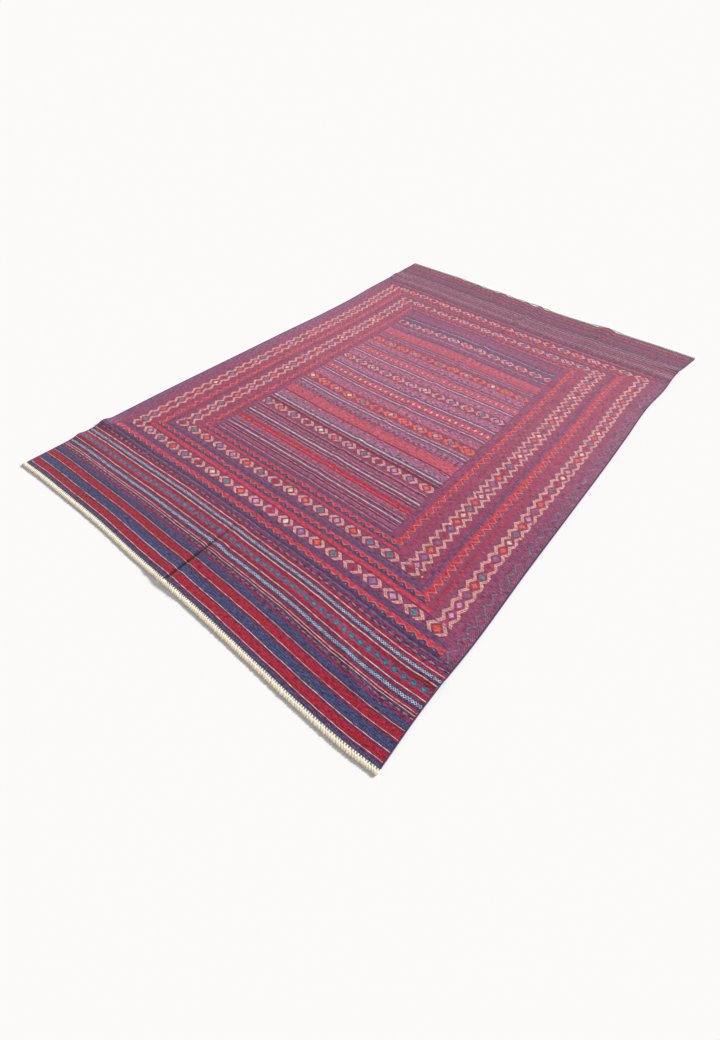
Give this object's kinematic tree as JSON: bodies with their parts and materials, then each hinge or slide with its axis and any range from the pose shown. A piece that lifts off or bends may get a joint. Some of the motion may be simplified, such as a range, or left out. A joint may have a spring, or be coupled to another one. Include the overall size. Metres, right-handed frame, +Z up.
{
  "type": "kilim",
  "caption": "Large flat-woven wool kilim lying on a floor, with a lengthwise centre crease, wrapped side cords and plaited cotton ends.",
  "frame": {"origin": "centre of the whole rug's box, on the floor under it", "axes": "+Y along the rug's length, away from the near end; +X across its width; +Z up"},
  "size_m": [2.0158, 3, 0.0204],
  "materials": {
    "flat_woven_wool": "hand-woven wool, matte",
    "wrapped_wool": "overcast dark blue wool, matte",
    "plaited_cotton": "undyed plaited cotton, matte"
  },
  "bodies": {
    "root": {"kilim_cloth": "flat_woven_wool", "side_cord_left": "wrapped_wool", "side_cord_right": "wrapped_wool", "end_plait_near": "plaited_cotton", "end_plait_far": "plaited_cotton"}
  },
  "joints": []
}
